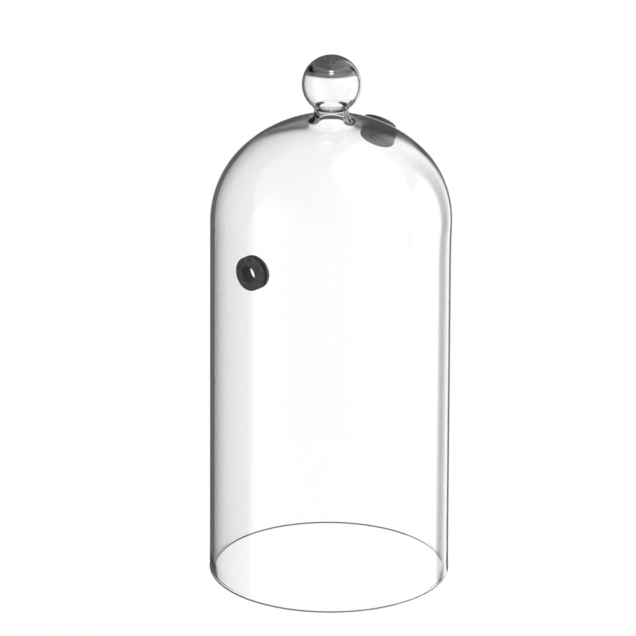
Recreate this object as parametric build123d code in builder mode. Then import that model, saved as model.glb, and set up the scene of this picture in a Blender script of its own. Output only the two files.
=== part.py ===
"""Glass smoking cloche: a blown clear bell with a hollow ball knob and two rubber hose ports.

Millimetres, +Z up. The origin is the centre of the rim, on the surface the bell stands on. The front of
the bell is -Y. One port is on the wall under the shoulder, and the other is across from it on the dome.
"""

import os
from math import cos, radians, sin, sqrt

from build123d import *

# ---------------------------------------------------------------- bell
BODY_DIAMETER = 140.0  # outside of the straight wall
STRAIGHT_HEIGHT = 217.5  # stand to spring line, where the dome begins
SHOULDER_INSET = 13.0  # the shoulder arc's centre, out from the axis
CROWN_TILT = 30.0  # degrees from upright where the shoulder arc meets the flatter arc over the top
WALL = 2.5  # glass thickness

# ---------------------------------------------------------------- fire-polished rim
BEAD_DIAMETER = 3.8  # section of the thickened rim
SEAT_WIDTH = 1.5  # narrow flat lapped on the underside
BEAD_BLEND = 2.0  # radius that runs the bead out into the wall

# ---------------------------------------------------------------- neck
NECK_DIAMETER = 20.0
NECK_LENGTH = 8.5  # crown to the weld between neck and knob
THROAT_DIAMETER = 14.0
NECK_FLARE = 6.0  # outside radius from neck to crown
THROAT_FLARE = 6.0  # inside radius from throat to crown

# ---------------------------------------------------------------- ball knob
KNOB_DIAMETER = 34.4
COLLAR = 1.0  # weld to the crease under the ball
KNOB_BLEND = 1.0  # radius in the crease under the ball
KNOB_WALL = 1.7  # glass thickness at the widest part and below it
ROOF_RISE = 8.5  # widest part up to the cavity's roof, which has a thick gather of glass over it
ROOF_RADIUS = 20.0
ROOF_BLEND = 5.0  # radius between the cavity's roof and its side

# ---------------------------------------------------------------- hose ports
PORT_HOLE = 14.0  # diameter drilled in the glass
HOSE_BORE = 10.0  # clear diameter through a grommet
FLANGE_DIAMETER = 20.0
FLANGE_OUTSIDE = 2.8  # thickness of the outer flange
FLANGE_INSIDE = 2.4  # thickness of the inner flange
FLANGE_ROUND = 1.1  # rounding of the flange edges
BORE_ROUND = 0.4  # rounding of the bore mouths
SIDE_PORT_DIRECTION = 231.0  # degrees round from +X
SIDE_PORT_DROP = 12.5  # spring line down to the side port's axis
SHOULDER_PORT_DIRECTION = 57.0  # degrees round from +X
SHOULDER_PORT_TILT = 42.0  # degrees from upright to the shoulder port's axis

BODY_RADIUS = BODY_DIAMETER / 2
SHOULDER_RADIUS = BODY_RADIUS - SHOULDER_INSET
CROWN_RADIUS = SHOULDER_RADIUS + SHOULDER_INSET / sin(radians(CROWN_TILT))  # tangent to the shoulder arc
CROWN_CENTRE = STRAIGHT_HEIGHT - (CROWN_RADIUS - SHOULDER_RADIUS) * cos(radians(CROWN_TILT))
WELD_HEIGHT = CROWN_CENTRE + CROWN_RADIUS + NECK_LENGTH


def bell_form(outset):
    """Solid bell from the stand to its crown, all its faces moved out by outset."""
    with BuildPart() as form:
        with BuildSketch(Plane.XZ):
            with BuildLine():
                side = Line((BODY_RADIUS + outset, 0), (BODY_RADIUS + outset, STRAIGHT_HEIGHT))
                spring = (SHOULDER_INSET, STRAIGHT_HEIGHT)
                CenterArc(spring, SHOULDER_RADIUS + outset, 0, 90 - CROWN_TILT)
                crown = CenterArc((0, CROWN_CENTRE), CROWN_RADIUS + outset, 90 - CROWN_TILT, CROWN_TILT)
                Polyline(crown @ 1, (0, 0), side @ 0)
            make_face()
        revolve(axis=Axis.Z)
    return form.part


def port_plane(direction, tilt, drop=0):
    """Plane on the outside of the shoulder, its normal tilted from upright, then moved down by drop."""
    outward = Vector(cos(radians(direction)), sin(radians(direction)), 0)
    normal = outward * sin(radians(tilt)) + Vector(0, 0, cos(radians(tilt)))
    spring = outward * SHOULDER_INSET + Vector(0, 0, STRAIGHT_HEIGHT - drop)
    return Plane(origin=spring + normal * SHOULDER_RADIUS, x_dir=Vector(0, 0, 1).cross(outward), z_dir=normal)


def rings(part, radius, low, high):
    """Edges that run round the bell's axis at one radius, between two heights."""
    around = part.edges().filter_by(lambda e: abs(e.bounding_box().size.X - 2 * radius) < 0.01)
    return around.filter_by(lambda e: low < e.center().Z < high)


SHOULDER_PORT = port_plane(SHOULDER_PORT_DIRECTION, SHOULDER_PORT_TILT)
SIDE_PORT = port_plane(SIDE_PORT_DIRECTION, 90, SIDE_PORT_DROP)
DRILL_REACH = 2 * (WALL + FLANGE_OUTSIDE + FLANGE_INSIDE)  # through the glass, not across the bell

# ---------------------------------------------------------------- dome shell
bead_radius = BEAD_DIAMETER / 2
bead_height = sqrt(bead_radius**2 - (SEAT_WIDTH / 2) ** 2)

with BuildPart() as dome_shell:
    add(bell_form(0))
    with BuildSketch(Plane.XY.offset(WELD_HEIGHT)):
        Circle(NECK_DIAMETER / 2)
    extrude(amount=STRAIGHT_HEIGHT - WELD_HEIGHT)
    fillet(rings(dome_shell, NECK_DIAMETER / 2, STRAIGHT_HEIGHT, WELD_HEIGHT - 0.1), NECK_FLARE)

    add(bell_form(-WALL), mode=Mode.SUBTRACT)
    with BuildSketch(Plane.XY.offset(WELD_HEIGHT)):
        Circle(THROAT_DIAMETER / 2)
    extrude(amount=STRAIGHT_HEIGHT - WELD_HEIGHT, mode=Mode.SUBTRACT)
    fillet(rings(dome_shell, THROAT_DIAMETER / 2, STRAIGHT_HEIGHT, WELD_HEIGHT - 0.1), THROAT_FLARE)

    with BuildSketch(Plane.XZ) as rim:
        with Locations((BODY_RADIUS - WALL / 2, bead_height)):
            Circle(bead_radius)
            Rectangle(WALL, 3 * BEAD_DIAMETER, align=(Align.CENTER, Align.MIN))
        with Locations((BODY_RADIUS, 0)):
            Rectangle(2 * BEAD_DIAMETER, BEAD_DIAMETER, align=(Align.CENTER, Align.MAX), mode=Mode.SUBTRACT)
        creases = rim.vertices().filter_by(lambda v: bead_height < v.Y < 2 * BEAD_DIAMETER)
        fillet(creases, BEAD_BLEND)
    revolve(axis=Axis.Z)

    for port in (SIDE_PORT, SHOULDER_PORT):
        with BuildSketch(port.offset(DRILL_REACH)):
            Circle(PORT_HOLE / 2)
        extrude(amount=-2 * DRILL_REACH, mode=Mode.SUBTRACT)
dome_shell.part.label = "dome_shell"

# ---------------------------------------------------------------- ball knob
knob_radius = KNOB_DIAMETER / 2
sunk = sqrt(knob_radius**2 - (NECK_DIAMETER / 2) ** 2)
knob_centre = WELD_HEIGHT + COLLAR + sunk
upright = (Align.CENTER, Align.MIN)  # rises from its place
quarter = (Align.MIN, Align.MIN)  # rises from its place, on one side of the axis only

with BuildPart() as ball_knob:
    with BuildSketch(Plane.XZ) as ball:
        with Locations((0, knob_centre)):
            Circle(knob_radius)
        with Locations((0, WELD_HEIGHT)):
            Rectangle(NECK_DIAMETER, COLLAR + sunk, align=upright)
        fillet(ball.vertices().filter_by(lambda v: v.Y > WELD_HEIGHT + COLLAR / 2), KNOB_BLEND)
        with Locations((0, WELD_HEIGHT)):
            Rectangle(KNOB_DIAMETER, 2 * KNOB_DIAMETER, align=quarter, mode=Mode.INTERSECT)
    revolve(axis=Axis.Z)
    with BuildSketch(Plane.XZ) as cavity:
        with Locations((0, knob_centre)):
            Circle(knob_radius - KNOB_WALL)
        with Locations((0, knob_centre + ROOF_RISE - ROOF_RADIUS)):
            Circle(ROOF_RADIUS, mode=Mode.INTERSECT)
        fillet(cavity.vertices().filter_by(lambda v: abs(v.X) > THROAT_DIAMETER / 2), ROOF_BLEND)
        with Locations((0, WELD_HEIGHT)):
            Rectangle(THROAT_DIAMETER, COLLAR + sunk, align=upright)
            Rectangle(KNOB_DIAMETER, 2 * KNOB_DIAMETER, align=quarter, mode=Mode.INTERSECT)
    revolve(axis=Axis.Z, mode=Mode.SUBTRACT)
ball_knob.part.label = "ball_knob"


# ---------------------------------------------------------------- grommets
with BuildSketch() as grommet_section:
    with Locations((HOSE_BORE / 2, FLANGE_OUTSIDE)):
        Rectangle(
            (FLANGE_DIAMETER - HOSE_BORE) / 2,
            FLANGE_OUTSIDE + WALL + FLANGE_INSIDE,
            align=(Align.MIN, Align.MAX),
        )
    bore, rim = grommet_section.vertices().group_by(Axis.X)
    fillet(bore, BORE_ROUND)
    fillet(rim, FLANGE_ROUND)


def grommet(port):
    """Rubber ring turned on a port's axis, its groove cut by the glass it grips."""
    with BuildPart() as ring:
        with BuildSketch(Plane(origin=port.origin, x_dir=port.x_dir, z_dir=-port.y_dir)):
            add(grommet_section.sketch)
        revolve(axis=Axis(port.origin, port.z_dir))
        add(dome_shell.part, mode=Mode.SUBTRACT)
    return ring.part


side_grommet = grommet(SIDE_PORT)
side_grommet.label = "side_grommet"
shoulder_grommet = grommet(SHOULDER_PORT)
shoulder_grommet.label = "shoulder_grommet"

os.makedirs("parts", exist_ok=True)
export_step(dome_shell.part, "parts/dome_shell.step")
export_step(ball_knob.part, "parts/ball_knob.step")
export_step(side_grommet, "parts/side_grommet.step")
export_step(shoulder_grommet, "parts/shoulder_grommet.step")
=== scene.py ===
"""Glass smoking cloche: the looks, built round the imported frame.

The bell and its knob are lathed as thick-walled glass from their own arcs, and the two rubber rings are
turned, bent to the glass and pushed into their holes. Metres, +Z up, the front towards -Y.
"""

import logging
import math
from dataclasses import dataclass, field
from enum import Enum
from typing import Iterable

import bpy
from mathutils import Matrix, Vector

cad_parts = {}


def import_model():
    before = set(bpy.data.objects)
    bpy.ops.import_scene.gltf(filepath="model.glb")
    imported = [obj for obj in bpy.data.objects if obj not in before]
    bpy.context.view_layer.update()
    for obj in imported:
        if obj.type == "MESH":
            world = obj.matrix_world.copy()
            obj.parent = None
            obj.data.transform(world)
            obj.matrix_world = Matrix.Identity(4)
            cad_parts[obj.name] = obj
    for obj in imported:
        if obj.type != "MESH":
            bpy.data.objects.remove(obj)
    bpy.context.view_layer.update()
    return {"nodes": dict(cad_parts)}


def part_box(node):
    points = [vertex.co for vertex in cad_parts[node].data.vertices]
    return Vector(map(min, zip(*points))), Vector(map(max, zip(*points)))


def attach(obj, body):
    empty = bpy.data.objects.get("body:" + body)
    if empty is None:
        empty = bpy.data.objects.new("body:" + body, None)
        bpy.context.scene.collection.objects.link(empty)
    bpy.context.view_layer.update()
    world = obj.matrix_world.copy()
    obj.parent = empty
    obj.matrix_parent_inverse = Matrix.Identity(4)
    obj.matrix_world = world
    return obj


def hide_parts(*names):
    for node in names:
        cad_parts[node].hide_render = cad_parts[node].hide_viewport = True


LOG = logging.getLogger("cloche")
SAME_POINT = 2e-6  # points of a skin this close are one
Outline = list[tuple[float, float]]


# ---------------------------------------------------------------- mesh helpers
def deselect() -> None:
    """Go back to object mode with nothing selected."""
    if bpy.context.object and bpy.context.object.mode != "OBJECT":
        bpy.ops.object.mode_set(mode="OBJECT")
    bpy.ops.object.select_all(action="DESELECT")


def select(piece: bpy.types.Object) -> None:
    """Select one piece alone and make it the active one.

    Args:
        piece: The piece.
    """
    deselect()
    piece.select_set(True)
    bpy.context.view_layer.objects.active = piece


def apply_modifier(piece: bpy.types.Object, modifier: bpy.types.Modifier) -> None:
    """Apply one modifier of a piece."""
    select(piece)
    bpy.ops.object.modifier_apply(modifier=modifier.name)


def dress(piece: bpy.types.Object, finish: bpy.types.Material) -> None:
    """Give a piece its only material."""
    piece.data.materials.clear()
    piece.data.materials.append(finish)


def arc(centre: tuple[float, float], radius: float, start: float, end: float, pitch: float) -> Outline:
    """Points along an arc of an outline.

    Args:
        centre: Radius and height of the arc's centre.
        radius: Radius of the arc.
        start: First angle in degrees, from outwards towards up.
        end: Last angle in degrees.
        pitch: Longest step between two points.

    Returns:
        The points, both ends included.
    """
    sweep = math.radians(end - start)
    steps = max(2, math.ceil(abs(sweep) * radius / pitch))
    turns = (math.radians(start) + sweep * step / steps for step in range(steps + 1))
    return [(centre[0] + radius * math.cos(turn), centre[1] + radius * math.sin(turn)) for turn in turns]


def straight(start: tuple[float, float], end: tuple[float, float], pitch: float) -> Outline:
    """Points along a straight stretch of an outline, both ends included.

    Args:
        start: Radius and height of the first point.
        end: Radius and height of the last point.
        pitch: Longest step between two points.

    Returns:
        The points.
    """
    steps = max(1, math.ceil(math.dist(start, end) / pitch))
    shares = (step / steps for step in range(steps + 1))
    return [(start[0] + (end[0] - start[0]) * s, start[1] + (end[1] - start[1]) * s) for s in shares]


def joined(stretches: Iterable[Outline]) -> Outline:
    """One outline from stretches laid end to end, with the shared points kept once.

    Args:
        stretches: The stretches, in order.

    Returns:
        The outline.
    """
    points: Outline = []
    for stretch in stretches:
        for point in stretch:
            if not points or math.dist(point, points[-1]) > SAME_POINT / 20:
                points.append(point)
    return points


def lathe(name: str, outline: Outline, segments: int) -> bpy.types.Object:
    """Spin an outline round the Z axis into a closed skin.

    Args:
        name: Name of the new object.
        outline: Radius and height of each point, in order.
        segments: Steps round the axis.

    Returns:
        The object, its faces pointing outwards.
    """
    deselect()
    bpy.ops.mesh.primitive_plane_add(size=0.001, location=(0, 0, 0))
    turned = bpy.context.object
    turned.name = name
    bpy.ops.object.mode_set(mode="EDIT")
    bpy.ops.mesh.select_all(action="SELECT")
    bpy.ops.mesh.merge(type="CENTER")
    at = (0.0, 0.0)
    for count, point in enumerate(outline):
        step = (point[0] - at[0], 0, point[1] - at[1])
        if count:
            bpy.ops.mesh.extrude_region_move(TRANSFORM_OT_translate={"value": step})
        else:
            bpy.ops.transform.translate(value=step)
        at = point
    bpy.ops.mesh.select_all(action="SELECT")
    bpy.ops.mesh.spin(steps=segments, angle=2 * math.pi, center=(0, 0, 0), axis=(0, 0, 1))
    bpy.ops.mesh.select_all(action="SELECT")
    bpy.ops.mesh.remove_doubles(threshold=SAME_POINT)
    bpy.ops.mesh.normals_make_consistent(inside=False)
    bpy.ops.object.mode_set(mode="OBJECT")
    bpy.ops.object.shade_smooth_by_angle(angle=math.radians(40))
    return turned


def open_weld(piece: bpy.types.Object, height: float) -> None:
    """Take away the flat ring of faces at a weld, where the glass runs on into the next piece.

    Args:
        piece: The bell or the knob.
        height: Height of the weld.
    """
    select(piece)
    bpy.ops.object.mode_set(mode="EDIT")
    bpy.ops.mesh.select_mode(type="FACE")
    bpy.ops.mesh.select_all(action="DESELECT")
    bpy.ops.object.mode_set(mode="OBJECT")
    for polygon in piece.data.polygons:
        polygon.select = abs(polygon.center.z - height) < SAME_POINT / 2 and abs(polygon.normal.z) > 0.99
    bpy.ops.object.mode_set(mode="EDIT")
    bpy.ops.mesh.delete(type="FACE")
    bpy.ops.mesh.select_mode(type="VERT")
    bpy.ops.object.mode_set(mode="OBJECT")


# ---------------------------------------------------------------- the bell's form
@dataclass
class Port:
    """One hose port: where its axis leaves the glass and how the glass curves there."""

    origin: Vector
    normal: Vector
    bend_across: float  # radius of curvature along the horizontal
    bend_along: float  # radius of curvature along the slope

    def matrix(self) -> Matrix:
        """Place and turn of the port: X horizontal, Y along the slope, Z out of the glass.

        Returns:
            The matrix that takes a piece from the origin into the port.
        """
        across = Vector((0, 0, 1)).cross(self.normal).normalized()
        along = self.normal.cross(across)
        turn = Matrix((across, along, self.normal)).transposed()
        return Matrix.Translation(self.origin) @ turn.to_4x4()

    def place(self, piece: bpy.types.Object) -> None:
        """Move a piece modelled round the Z axis into the port, and keep its own frame at the origin.

        Args:
            piece: The piece.
        """
        select(piece)
        piece.matrix_world = self.matrix()
        bpy.context.view_layer.update()
        bpy.ops.object.transform_apply(location=True, rotation=True, scale=True)

    def sag(self, across: float, along: float) -> float:
        """How far the glass falls away from a flat at a place beside the port's axis."""
        return across**2 / (2 * self.bend_across) + along**2 / (2 * self.bend_along)


@dataclass
class BellForm:
    """The bell's arcs, shared by the glass and by the rings that sit on it."""

    body_radius: float = 0.070
    straight_height: float = 0.2171
    shoulder_inset: float = 0.01165
    crown_tilt: float = 44.7
    inner_crown_tilt: float = 29.0  # flatter inside, so the glass thickens towards the neck
    wall: float = 0.0025
    side_port_direction: float = 230.0
    side_port_height: float = 0.205
    shoulder_port_direction: float = 58.5
    shoulder_port_tilt: float = 42.0

    @property
    def shoulder_radius(self) -> float:
        """Radius of the shoulder arc on the outside."""
        return self.body_radius - self.shoulder_inset

    def crown(self, inside: bool) -> tuple[float, float, float]:
        """Radius, centre height and tilt of the crown arc on one face of the glass.

        Args:
            inside: Whether it is the inner face.

        Returns:
            Radius, height of the centre, and degrees from upright where it meets the shoulder.
        """
        tilt = self.inner_crown_tilt if inside else self.crown_tilt
        shoulder = self.shoulder_radius - (self.wall if inside else 0)
        drift = self.shoulder_inset / math.sin(math.radians(tilt))
        return shoulder + drift, self.straight_height - drift * math.cos(math.radians(tilt)), tilt

    def side_port(self) -> Port:
        """The port under the shoulder.

        Returns:
            The port.
        """
        turn = math.radians(self.side_port_direction)
        normal = Vector((math.cos(turn), math.sin(turn), 0))
        origin = normal * self.body_radius + Vector((0, 0, self.side_port_height))
        return Port(origin, normal, self.body_radius, math.inf)

    def shoulder_port(self) -> Port:
        """The port on the far shoulder, across the axis from the side port.

        Returns:
            The port.
        """
        turn = math.radians(self.shoulder_port_direction)
        tilt = math.radians(self.shoulder_port_tilt)
        outward = Vector((math.cos(turn), math.sin(turn), 0))
        normal = outward * math.sin(tilt) + Vector((0, 0, math.cos(tilt)))
        spring = outward * self.shoulder_inset + Vector((0, 0, self.straight_height))
        origin = spring + normal * self.shoulder_radius
        across = origin.to_2d().length / math.sin(tilt)
        return Port(origin, normal, across, self.shoulder_radius)


# ---------------------------------------------------------------- finishes
def new_material(name: str) -> tuple[bpy.types.Material, bpy.types.Node]:
    """A node material and its shader.

    Args:
        name: Name of the new material.

    Returns:
        The material and its shader node.
    """
    material = bpy.data.materials.new(name)
    material.use_nodes = True
    return material, material.node_tree.nodes["Principled BSDF"]


@dataclass(frozen=True)
class GlassFinish:
    """Clear blown glass."""

    name: str = "clear_blown_glass"
    tint: tuple[float, float, float] = (0.996, 0.998, 0.997)
    ior: float = 1.474
    wave_scale: float = 28.0  # blowing waves per metre, a quarter of that along the height
    wave_stretch: tuple[float, float, float] = (1.0, 1.0, 0.25)
    wave_strength: float = 0.04
    wave_height: float = 0.001

    def build(self) -> bpy.types.Material:
        """Build the glass with faint blowing waves.

        Returns:
            The material.
        """
        material, shader = new_material(self.name)
        tree = material.node_tree
        shader.inputs["Base Color"].default_value = (*self.tint, 1)
        shader.inputs["Transmission Weight"].default_value = 1.0
        shader.inputs["Roughness"].default_value = 0.0
        shader.inputs["IOR"].default_value = self.ior
        where = tree.nodes.new("ShaderNodeTexCoord")
        stretch = tree.nodes.new("ShaderNodeMapping")
        stretch.inputs["Scale"].default_value = self.wave_stretch
        waves = tree.nodes.new("ShaderNodeTexNoise")
        waves.inputs["Scale"].default_value = self.wave_scale
        waves.inputs["Detail"].default_value = 1.0
        bump = tree.nodes.new("ShaderNodeBump")
        bump.inputs["Strength"].default_value = self.wave_strength
        bump.inputs["Distance"].default_value = self.wave_height
        tree.links.new(where.outputs["Object"], stretch.inputs["Vector"])
        tree.links.new(stretch.outputs["Vector"], waves.inputs["Vector"])
        tree.links.new(waves.outputs["Fac"], bump.inputs["Height"])
        tree.links.new(bump.outputs["Normal"], shader.inputs["Normal"])
        return material


@dataclass(frozen=True)
class RubberFinish:
    """Black moulded rubber with a dry, slightly dusty surface."""

    name: str = "black_rubber"
    dark: tuple[float, float, float] = (0.020, 0.020, 0.021)
    dusty: tuple[float, float, float] = (0.058, 0.058, 0.060)
    mottle_scale: float = 420.0
    mottle_range: tuple[float, float] = (0.35, 0.75)
    grain_scale: float = 2600.0
    grain_strength: float = 0.25
    grain_height: float = 0.0002
    roughness: tuple[float, float] = (0.45, 0.7)  # bare rubber and dusty rubber

    def build(self) -> bpy.types.Material:
        """Build the rubber with dusty mottling and a fine moulded grain.

        Returns:
            The material.
        """
        material, shader = new_material(self.name)
        tree = material.node_tree
        where = tree.nodes.new("ShaderNodeTexCoord")
        mottle = tree.nodes.new("ShaderNodeTexNoise")
        mottle.inputs["Scale"].default_value = self.mottle_scale
        mottle.inputs["Detail"].default_value = 4.0
        ramp = tree.nodes.new("ShaderNodeValToRGB")
        stops = ramp.color_ramp.elements
        for stop, position, colour in zip(stops, self.mottle_range, (self.dark, self.dusty)):
            stop.position = position
            stop.color = (*colour, 1)
        grain = tree.nodes.new("ShaderNodeTexNoise")
        grain.inputs["Scale"].default_value = self.grain_scale
        grain.inputs["Detail"].default_value = 2.0
        bump = tree.nodes.new("ShaderNodeBump")
        bump.inputs["Strength"].default_value = self.grain_strength
        bump.inputs["Distance"].default_value = self.grain_height
        rough = tree.nodes.new("ShaderNodeMapRange")
        rough.inputs["To Min"].default_value, rough.inputs["To Max"].default_value = self.roughness
        tree.links.new(where.outputs["Object"], mottle.inputs["Vector"])
        tree.links.new(where.outputs["Object"], grain.inputs["Vector"])
        tree.links.new(mottle.outputs["Fac"], ramp.inputs["Fac"])
        tree.links.new(mottle.outputs["Fac"], rough.inputs["Value"])
        tree.links.new(grain.outputs["Fac"], bump.inputs["Height"])
        tree.links.new(ramp.outputs["Color"], shader.inputs["Base Color"])
        tree.links.new(rough.outputs["Result"], shader.inputs["Roughness"])
        tree.links.new(bump.outputs["Normal"], shader.inputs["Normal"])
        return material


# ---------------------------------------------------------------- glass
@dataclass
class GlassBell:
    """The bell: straight wall, shoulder, crown, flared neck, bead rim and two drilled holes."""

    form: BellForm
    bead_radius: float = 0.0014
    bead_blend: float = 0.002
    neck_radius: float = 0.010
    throat_radius: float = 0.007
    neck_flare: float = 0.005
    throat_flare: float = 0.008
    hole_radius: float = 0.007
    hole_segments: int = 96
    segments: int = 216
    pitch: float = 0.0025  # longest step round the dome; finer stretches take a share of it

    def wall_face(self, offset: float, foot: float, bore: float, flare: float, top: float) -> Outline:
        """One face of the wall, from its foot up to the top of the neck.

        Args:
            offset: How far this face lies outside the outer face, so minus the wall for the inner one.
            foot: Height where the face leaves the rim.
            bore: Radius of the neck on this face.
            flare: Radius that runs the neck out into the crown.
            top: Height of the weld.

        Returns:
            The points from the foot up.
        """
        form = self.form
        spring = (form.shoulder_inset, form.straight_height)
        side = form.body_radius + offset
        radius, centre, tilt = form.crown(inside=offset < 0)
        swing = (bore + flare, centre + math.sqrt((radius + flare) ** 2 - (bore + flare) ** 2))
        lean = math.degrees(math.atan2(swing[1] - centre, swing[0]))
        return joined(
            (
                straight((side, foot), (side, form.straight_height), 4 * self.pitch),
                arc(spring, form.shoulder_radius + offset, 0, 90 - tilt, self.pitch),
                arc((0.0, centre), radius, 90 - tilt, lean, self.pitch),
                arc(swing, flare, lean - 180, -180, self.pitch / 5),
                straight((bore, swing[1]), (bore, top), self.pitch / 2),
            )
        )

    def rim(self) -> Outline:
        """The bead round the foot of the wall, from the inner face under and out to the outer face.

        Returns:
            The points.
        """
        middle = self.form.body_radius - self.form.wall / 2
        half_wall = self.form.wall / 2
        reach = self.bead_radius + self.bead_blend
        lift = math.sqrt(reach**2 - (half_wall + self.bead_blend) ** 2)
        lean = math.degrees(math.atan2(lift, half_wall + self.bead_blend))
        height = self.bead_radius
        fine = self.pitch / 8
        inner = (middle - half_wall - self.bead_blend, height + lift)
        outer = (middle + half_wall + self.bead_blend, height + lift)
        return joined(
            (
                arc(inner, self.bead_blend, 0, -lean, fine),
                arc((middle, height), self.bead_radius, 180 - lean, 360 + lean, fine),
                arc(outer, self.bead_blend, 180 + lean, 180, fine),
            )
        )

    def outline(self, weld: float) -> Outline:
        """The whole section of the wall, once round.

        Args:
            weld: Height of the weld to the knob.

        Returns:
            The points, from the inner foot under the rim, up, over the weld and down inside.
        """
        rim = self.rim()
        outer = self.wall_face(0, rim[-1][1], self.neck_radius, self.neck_flare, weld)
        inner = self.wall_face(-self.form.wall, rim[0][1], self.throat_radius, self.throat_flare, weld)
        weld_face = straight(outer[-1], inner[-1], self.pitch / 2)
        return joined((rim, outer, weld_face, list(reversed(inner))))

    def drill(self, bell: bpy.types.Object, port: Port) -> None:
        """Cut one port's hole through the glass.

        Args:
            bell: The lathed bell.
            port: The port to drill.
        """
        deselect()
        reach = 8 * self.form.wall
        bpy.ops.mesh.primitive_cylinder_add(
            vertices=self.hole_segments, radius=self.hole_radius, depth=reach
        )
        cutter = bpy.context.object
        port.place(cutter)
        cut = bell.modifiers.new("drill", "BOOLEAN")
        cut.operation = "DIFFERENCE"
        cut.solver = "EXACT"
        cut.object = cutter
        apply_modifier(bell, cut)
        bpy.data.objects.remove(cutter)

    def build(self, weld: float, finish: bpy.types.Material) -> bpy.types.Object:
        """Lathe the bell, drill its ports and dress it.

        Args:
            weld: Height of the weld to the knob.
            finish: Its glass.

        Returns:
            The bell.
        """
        bell = lathe("glass_bell", self.outline(weld), self.segments)
        for port in (self.form.side_port(), self.form.shoulder_port()):
            self.drill(bell, port)
        open_weld(bell, weld)
        dress(bell, finish)
        return bell


@dataclass
class GlassKnob:
    """The hollow ball on the neck, with a thick gather of glass over its cavity."""

    radius: float = 0.0172
    neck_radius: float = 0.010
    throat_radius: float = 0.007
    crease: float = 0.001
    wall: float = 0.0014
    roof_rise: float = 0.0113
    roof_radius: float = 0.030
    roof_blend: float = 0.0075
    segments: int = 216
    pitch: float = 0.0008

    def outline(self, weld: float, top: float) -> Outline:
        """The ball's section from its top pole out, down, in and up the cavity to the roof's pole.

        Args:
            weld: Height of the weld to the bell.
            top: Height of the top pole.

        Returns:
            The points.
        """
        centre = top - self.radius
        reach = self.radius + self.crease
        out = self.neck_radius + self.crease
        drop = math.sqrt(reach**2 - out**2)
        lean = math.degrees(math.atan2(drop, out))
        inner = self.radius - self.wall
        mouth = math.degrees(math.acos(self.throat_radius / inner))
        drop_to_roof = self.roof_radius - self.roof_rise
        near, far = inner - self.roof_blend, self.roof_radius - self.roof_blend
        up = (far**2 - near**2 - drop_to_roof**2) / (2 * drop_to_roof)
        aside = math.sqrt(near**2 - up**2)
        side_end = math.degrees(math.atan2(up, aside))
        roof_start = math.degrees(math.atan2(up + drop_to_roof, aside))
        return joined(
            (
                arc((0, centre), self.radius, 90, -lean, self.pitch),
                arc((out, centre - drop), self.crease, 180 - lean, 180, self.pitch / 3),
                straight((self.neck_radius, centre - drop), (self.neck_radius, weld), self.pitch),
                straight((self.neck_radius, weld), (self.throat_radius, weld), self.pitch),
                straight(
                    (self.throat_radius, weld),
                    (self.throat_radius, centre - inner * math.sin(math.radians(mouth))),
                    self.pitch,
                ),
                arc((0, centre), inner, -mouth, side_end, self.pitch),
                arc((aside, centre + up), self.roof_blend, side_end, roof_start, self.pitch / 2),
                arc((0, centre - drop_to_roof), self.roof_radius, roof_start, 90, self.pitch),
            )
        )

    def build(self, weld: float, top: float, finish: bpy.types.Material) -> bpy.types.Object:
        """Lathe the knob and dress it.

        Args:
            weld: Height of the weld to the bell.
            top: Height of the top pole.
            finish: Its glass.

        Returns:
            The knob.
        """
        knob = lathe("glass_knob", self.outline(weld, top), self.segments)
        open_weld(knob, weld)
        dress(knob, finish)
        return knob


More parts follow.
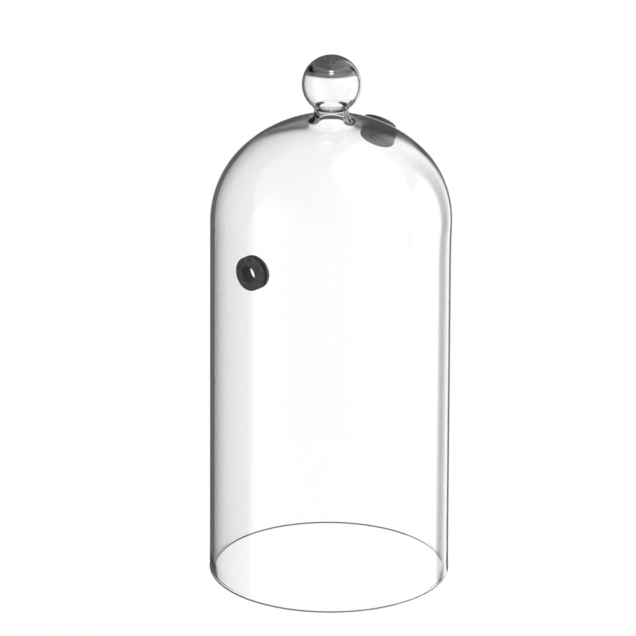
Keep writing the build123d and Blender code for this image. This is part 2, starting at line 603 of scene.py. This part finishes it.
# ---------------------------------------------------------------- rubber
@dataclass
class RubberRing:
    """A grommet: two rounded flanges, a groove that holds the glass and a bore for the hose."""

    flange_radius: float = 0.010
    bore_radius: float = 0.005
    hole_radius: float = 0.007
    outside: float = 0.0036
    inside: float = 0.0024
    round_edge: float = 0.0013
    bore_edge: float = 0.0004
    seat_gap: float = 0.00003
    segments: int = 128
    fine: float = 0.0001  # longest step round an edge
    coarse: float = 0.0005  # longest step along a flat

    def outline(self, wall: float) -> Outline:
        """The ring's section, once round, with the outer face of the glass at height nought.

        Args:
            wall: Thickness of the glass in the groove.

        Returns:
            The points.
        """
        big, small, gap = self.round_edge, self.bore_edge, self.seat_gap
        top = self.outside
        foot = -wall - self.inside
        rim = self.flange_radius
        fine, coarse = self.fine, self.coarse
        return joined(
            (
                arc((self.bore_radius + small, top - small), small, 180, 90, fine),
                straight((self.bore_radius + small, top), (rim - big, top), coarse),
                arc((rim - big, top - big), big, 90, 0, fine),
                arc((rim - small, gap + small), small, 0, -90, fine),
                straight((rim - small, gap), (self.hole_radius - gap, gap), coarse),
                straight((self.hole_radius - gap, gap), (self.hole_radius - gap, -wall - gap), coarse),
                straight((self.hole_radius - gap, -wall - gap), (rim - small, -wall - gap), coarse),
                arc((rim - small, -wall - gap - small), small, 90, 0, fine),
                arc((rim - big, foot + big), big, 0, -90, fine),
                straight((rim - big, foot), (self.bore_radius + small, foot), coarse),
                arc((self.bore_radius + small, foot + small), small, -90, -180, fine),
                straight((self.bore_radius, foot + small), (self.bore_radius, top - small), coarse),
            )
        )

    def bend(self, ring: bpy.types.Object, port: Port) -> None:
        """Bend a flat ring to the glass: a displace modifier lowers each place by its weight.

        Args:
            ring: The turned ring, its axis upright.
            port: Port that it will sit in.
        """
        places: dict[float, list[int]] = {}
        for vertex in ring.data.vertices:
            sag = round(port.sag(vertex.co.x, vertex.co.y), 9)
            places.setdefault(sag, []).append(vertex.index)
        deepest = max(places)
        weights = ring.vertex_groups.new(name="sag")
        for sag, indices in places.items():
            weights.add(indices, sag / deepest, "REPLACE")
        lowered = ring.modifiers.new("bend", "DISPLACE")
        lowered.direction = "Z"
        lowered.mid_level = 0.0
        lowered.strength = -deepest
        lowered.vertex_group = weights.name
        apply_modifier(ring, lowered)
        ring.vertex_groups.clear()

    def build(self, name: str, port: Port, wall: float, finish: bpy.types.Material) -> bpy.types.Object:
        """Turn the ring, bend it to the glass and set it in its port.

        Args:
            name: Name of the new piece.
            port: Port that the ring sits in.
            wall: Thickness of the glass in its groove.
            finish: Its rubber.

        Returns:
            The ring.
        """
        ring = lathe(name, self.outline(wall), self.segments)
        self.bend(ring, port)
        port.place(ring)
        dress(ring, finish)
        return ring


# ---------------------------------------------------------------- hand-blown unevenness
@dataclass
class Slump:
    """The bell's slight fullness on one side, as it left the blower's hands."""

    half_width: float = 0.074  # of the cage, which stands from low to high
    low: float = 0.20
    high: float = 0.29
    fuller: tuple[float, ...] = (0.0, 0.0009, 0.0019, 0.0)  # row by row, from the foot of the cage up

    def lattice(self) -> bpy.types.Object:
        """Build a cage round the dome, its right side pulled out at shoulder height.

        Returns:
            The lattice.
        """
        deselect()
        bpy.ops.object.add(type="LATTICE", location=(0, 0, (self.low + self.high) / 2))
        cage = bpy.context.object
        cage.data.points_u, cage.data.points_v, cage.data.points_w = 3, 3, len(self.fuller)
        cage.data.interpolation_type_w = "KEY_CATMULL_ROM"
        cage.scale = (2 * self.half_width, 2 * self.half_width, self.high - self.low)
        on_the_right = 0.4  # the cage's own X runs from -0.5 to 0.5
        for point in cage.data.points:
            if point.co.x > on_the_right:
                row = round((point.co.z + 0.5) * (len(self.fuller) - 1))
                point.co_deform.x += self.fuller[row] / (2 * self.half_width)
        return cage

    def apply(self, pieces: Iterable[bpy.types.Object]) -> None:
        """Bend the pieces with the cage, and take it away.

        Args:
            pieces: All pieces of the cloche.
        """
        cage = self.lattice()
        bpy.context.view_layer.update()
        for piece in pieces:
            pull = piece.modifiers.new("slump", "LATTICE")
            pull.object = cage
            apply_modifier(piece, pull)
        bpy.data.objects.remove(cage)


# ---------------------------------------------------------------- studio
Source = bpy.types.NodeSocket | float
Stops = tuple[tuple[float, float], ...]


class Ray(Enum):
    """Kinds of sight line that the surroundings answer to differently."""

    CAMERA = "Is Camera Ray"
    MIRRORED = "Is Reflection Ray"
    PASSED = "Is Transmission Ray"


class Sums:
    """Arithmetic on sockets of one node tree."""

    def __init__(self, tree: bpy.types.NodeTree) -> None:
        """Keep the tree and give it one light path node."""
        self.tree = tree
        self.path = tree.nodes.new("ShaderNodeLightPath")

    def feed(self, socket: bpy.types.NodeSocket, source: Source) -> None:
        """Link a socket, or set a plain number on it.

        Args:
            socket: The input to feed.
            source: An output, or a number.
        """
        if isinstance(source, bpy.types.NodeSocket):
            self.tree.links.new(source, socket)
        else:
            socket.default_value = source

    def do(self, operation: str, first: Source, second: Source = 0.0) -> bpy.types.NodeSocket:
        """One math node.

        Args:
            operation: Name of the operation.
            first: First operand.
            second: Second operand, where there is one.

        Returns:
            The result.
        """
        node = self.tree.nodes.new("ShaderNodeMath")
        node.operation = operation
        for socket, source in zip(node.inputs, (first, second)):
            self.feed(socket, source)
        return node.outputs[0]

    def mix(self, share: Source, without: Source, within: Source) -> bpy.types.NodeSocket:
        """Blend from one value to another by a share.

        Args:
            share: 0 for all of the first, 1 for all of the second.
            without: First value.
            within: Second value.

        Returns:
            The blend.
        """
        node = self.tree.nodes.new("ShaderNodeMix")
        for index, source in ((0, share), (2, without), (3, within)):
            self.feed(node.inputs[index], source)
        return node.outputs[0]

    def rise(self, source: Source, start: float, end: float) -> bpy.types.NodeSocket:
        """Smooth climb from 0 to 1 between two values.

        Args:
            source: The value that climbs.
            start: Where the climb begins.
            end: Where it ends, above the start.

        Returns:
            The climb, 0 before the start and 1 past the end.
        """
        node = self.tree.nodes.new("ShaderNodeMapRange")
        node.interpolation_type = "SMOOTHSTEP"
        for name, value in (("Value", source), ("From Min", start), ("From Max", end)):
            self.feed(node.inputs[name], value)
        return node.outputs[0]

    def profile(self, source: Source, stops: Stops) -> bpy.types.NodeSocket:
        """Broken line through stops of position and value, both of any size.

        Args:
            source: Position on the line.
            stops: Positions and values in rising order of position.

        Returns:
            The value at that position.
        """
        first, last = stops[0][0], stops[-1][0]
        most = max(value for _, value in stops)
        place = self.do("DIVIDE", self.do("SUBTRACT", source, first), last - first)
        ramp = self.tree.nodes.new("ShaderNodeValToRGB")
        self.feed(ramp.inputs["Fac"], place)
        elements = ramp.color_ramp.elements
        while len(elements) < len(stops):
            elements.new(0.5)
        for element, (position, value) in zip(elements, stops):
            element.position = (position - first) / (last - first)
        for element, (position, value) in zip(elements, stops):
            element.color = (value / most, value / most, value / most, 1)
        return self.do("MULTIPLY", ramp.outputs["Color"], most)


@dataclass(frozen=True)
class Surroundings:
    """What the glass mirrors and looks past: softboxes and dark flags, by turn and height.

    Turns are degrees from the front, rightwards positive. Heights are degrees above level.
    """

    backdrop: float = 1.0  # white behind the bell, as seen past it
    fill: float = 1.08  # light on the rubber and the floor
    floor_edge: tuple[float, float] = (-12.0, -6.0)  # where the floor's white gives way to the dark above it
    dark_above: float = 0.10  # through the glass, above that edge
    dark_behind: float = 0.08  # mirrored, above that edge and straight behind
    behind: tuple[float, float] = (150.0, 172.0)
    right: tuple[float, float] = (0.0, 40.0)  # where the left half of the studio turns into the right one
    box_tops: tuple[float, float] = (38.0, 25.0)  # heights of the softboxes' tops, left and right
    top_fade: tuple[float, float] = (-8.0, 10.0)
    gap_left: tuple[float, float] = (-48.0, -30.0)  # weaker upper part of the light at the front
    gap_right: tuple[float, float] = (5.0, 25.0)
    gap_height: tuple[float, float] = (-5.0, 20.0)
    gap_light: float = 0.5
    inner_height: tuple[float, float] = (20.0, 50.0)
    inner_high: tuple[float, float] = (0.1, 1.0)  # high up, left and right, as the inner skin mirrors it

    # Brightness by turn, as the outer skin mirrors it
    outer_low: Stops = (
        (-180, 1.0), (-175.5, 1.0), (-173, 0.12), (-86.1, 0.12), (-83.1, 1.0), (-45, 1.0), (-30, 0.9),
        (5, 0.9), (25, 1.1), (79, 1.3), (82, 3.9), (126, 3.3), (130, 0.4), (135, 0.1), (143, 1.4),
        (150, 2.8), (156, 2.8), (161, 0.2), (173, 0.2), (175.5, 1.0), (180, 1.0),
    )
    # The same high up, past the tops of the softboxes
    outer_high: Stops = (
        (-180, 0.15), (-150, 0.06), (-90, 0.08), (-60, 0.3), (0, 0.9), (45, 1.6), (85, 1.6), (152, 1.6),
        (160, 0.25), (180, 0.15),
    )
    # Brightness by turn to either side, as the inner skin and the far wall mirror it
    inner_round: Stops = (
        (0, 1.0), (83.1, 1.0), (86.1, 0.12), (172, 0.15), (175.5, 1.0), (180, 1.0),
    )

    def outer(self, sums: Sums, turn: Source, height: Source) -> bpy.types.NodeSocket:
        """What the outer skin mirrors.

        Args:
            sums: Arithmetic on the world's node tree.
            turn: Turn that the sight line leaves at.
            height: Height that it leaves at.

        Returns:
            Its brightness.
        """
        tops = sums.mix(sums.rise(turn, *self.right), *self.box_tops)
        past_tops = sums.rise(sums.do("SUBTRACT", height, tops), *self.top_fade)
        gap = sums.do("MULTIPLY", sums.rise(height, *self.gap_height), sums.rise(turn, *self.gap_left))
        gap = sums.do("MULTIPLY", gap, sums.do("SUBTRACT", 1.0, sums.rise(turn, *self.gap_right)))
        low = sums.do("MULTIPLY", sums.profile(turn, self.outer_low), sums.mix(gap, 1.0, self.gap_light))
        low = sums.mix(self.behind_and_above(sums, turn, height), low, self.dark_behind)
        return sums.mix(past_tops, low, sums.profile(turn, self.outer_high))

    def inner(self, sums: Sums, turn: Source, height: Source) -> bpy.types.NodeSocket:
        """What the inner skin and the far wall mirror.

        Args:
            sums: Arithmetic on the world's node tree.
            turn: Turn that the sight line leaves at.
            height: Height that it leaves at.

        Returns:
            Its brightness.
        """
        low = sums.profile(sums.do("ABSOLUTE", turn), self.inner_round)
        low = sums.mix(self.behind_and_above(sums, turn, height), low, self.dark_behind)
        high = sums.mix(sums.rise(turn, *self.right), *self.inner_high)
        return sums.mix(sums.rise(height, *self.inner_height), low, high)

    def behind_and_above(self, sums: Sums, turn: Source, height: Source) -> bpy.types.NodeSocket:
        """Share of the dark that stands behind the bell, above the floor's edge."""
        above = sums.rise(height, *self.floor_edge)
        return sums.do("MULTIPLY", above, sums.rise(sums.do("ABSOLUTE", turn), *self.behind))

    def strength(self, sums: Sums, turn: Source, height: Source) -> bpy.types.NodeSocket:
        """Brightness for each kind of sight line.

        Args:
            sums: Arithmetic on the world's node tree.
            turn: Turn that the sight line leaves at.
            height: Height that it leaves at.

        Returns:
            The strength of the background.
        """
        path = sums.path.outputs
        inner = self.inner(sums, turn, height)
        through = sums.mix(sums.rise(height, *self.floor_edge), self.backdrop, self.dark_above)
        mirrored = sums.do("GREATER_THAN", path["Glossy Depth"], 0.5)
        outside = sums.do("LESS_THAN", path["Transmission Depth"], 0.5)
        straight_off = sums.do("MULTIPLY", mirrored, path[Ray.MIRRORED.value])
        seen = sums.mix(path[Ray.PASSED.value], self.fill, sums.mix(mirrored, through, inner))
        seen = sums.mix(straight_off, seen, sums.mix(outside, inner, self.outer(sums, turn, height)))
        return sums.mix(path[Ray.CAMERA.value], seen, self.backdrop)


@dataclass
class Studio:
    """Camera, pale floor, and the surroundings that light the bell."""

    distance: float = 5.54
    azimuth: float = 0.5
    elevation: float = 21.16
    roll: float = 0.29
    lens: float = 539.0
    sensor: float = 36.0
    aim: Vector = field(default_factory=lambda: Vector((-0.00714, 0.0, 0.15690)))
    floor_size: float = 60.0
    floor_white: float = 0.93
    surroundings: Surroundings = field(default_factory=Surroundings)

    def camera(self) -> None:
        """Set the camera in front of the bell, looking a little down at it."""
        data = bpy.data.cameras.new("camera")
        data.sensor_width = self.sensor
        data.lens = self.lens
        data.clip_start = 0.05
        data.clip_end = 100.0
        camera = bpy.data.objects.new("camera", data)
        bpy.context.collection.objects.link(camera)
        lift = math.radians(self.elevation)
        back = Vector((0, -math.cos(lift), math.sin(lift)))
        turn = Matrix.Rotation(math.radians(90 - self.elevation), 4, "X")
        twist = Matrix.Rotation(math.radians(self.roll), 4, "Z")
        round_it = Matrix.Rotation(math.radians(self.azimuth), 4, "Z")
        place = Matrix.Translation(self.aim + back * self.distance) @ turn @ twist
        camera.matrix_world = round_it @ place
        bpy.context.scene.camera = camera

    def world(self) -> None:
        """Surroundings: white to look at, with softboxes and flags for the glass to mirror."""
        world = bpy.data.worlds.new("studio")
        world.use_nodes = True
        tree = world.node_tree
        sums = Sums(tree)
        where = tree.nodes.new("ShaderNodeTexCoord")
        split = tree.nodes.new("ShaderNodeSeparateXYZ")
        tree.links.new(where.outputs["Generated"], split.inputs[0])
        forwards = sums.do("MULTIPLY", split.outputs["Y"], -1.0)
        turn = sums.do("DEGREES", sums.do("ARCTAN2", split.outputs["X"], forwards))
        height = sums.do("DEGREES", sums.do("ARCSINE", split.outputs["Z"]))
        background = tree.nodes["Background"]
        background.inputs["Color"].default_value = (1, 1, 1, 1)
        tree.links.new(self.surroundings.strength(sums, turn, height), background.inputs["Strength"])
        bpy.context.scene.world = world

    def floor(self) -> None:
        """A plain pale floor, which the glass looks past."""
        deselect()
        bpy.ops.mesh.primitive_plane_add(size=self.floor_size, location=(0, 0, 0))
        floor = bpy.context.object
        floor.name = "floor"
        material, shader = new_material("pale_floor")
        shader.inputs["Base Color"].default_value = (self.floor_white, self.floor_white, self.floor_white, 1)
        shader.inputs["Roughness"].default_value = 1.0
        shader.inputs["Specular IOR Level"].default_value = 0.0
        dress(floor, material)
        floor.visible_glossy = False
        floor.visible_transmission = False

    def build(self) -> None:
        """Build the whole studio."""
        bpy.context.scene.view_settings.view_transform = "Standard"
        self.camera()
        self.world()
        self.floor()


def build_pieces(weld: float, top: float, glass: bpy.types.Material, rubber: bpy.types.Material) -> None:
    """Build the bell, the knob and the two rings, and hand each to the frame.

    Args:
        weld: Height of the weld between neck and knob.
        top: Height of the knob's top.
        glass: Finish of the bell and the knob.
        rubber: Finish of the rings.
    """
    form = BellForm()
    bell = GlassBell(form).build(weld, glass)
    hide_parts("dome_shell")
    knob = GlassKnob().build(weld, top, glass)
    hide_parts("ball_knob")
    pieces = [bell, knob]
    for node, port in (("side_grommet", form.side_port()), ("shoulder_grommet", form.shoulder_port())):
        ring = RubberRing().build(node.replace("grommet", "ring"), port, form.wall, rubber)
        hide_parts(node)
        pieces.append(ring)
    Slump().apply(pieces)
    for piece in (bell, knob):
        piece.visible_shadow = False
        piece.visible_diffuse = False
    for piece in pieces:
        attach(piece, "root")
        LOG.info("%s: %d faces", piece.name, len(piece.data.polygons))


def main() -> None:
    """Load the frame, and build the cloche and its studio."""
    logging.basicConfig(level=logging.INFO, format="%(name)s: %(message)s")
    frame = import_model()
    glass = GlassFinish().build()
    rubber = RubberFinish().build()
    build_pieces(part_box("dome_shell")[1].z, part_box("ball_knob")[1].z, glass, rubber)
    for name, node in frame["nodes"].items():
        dress(node, rubber if "grommet" in name else glass)
    Studio().build()


if __name__ == "__main__":
    main()
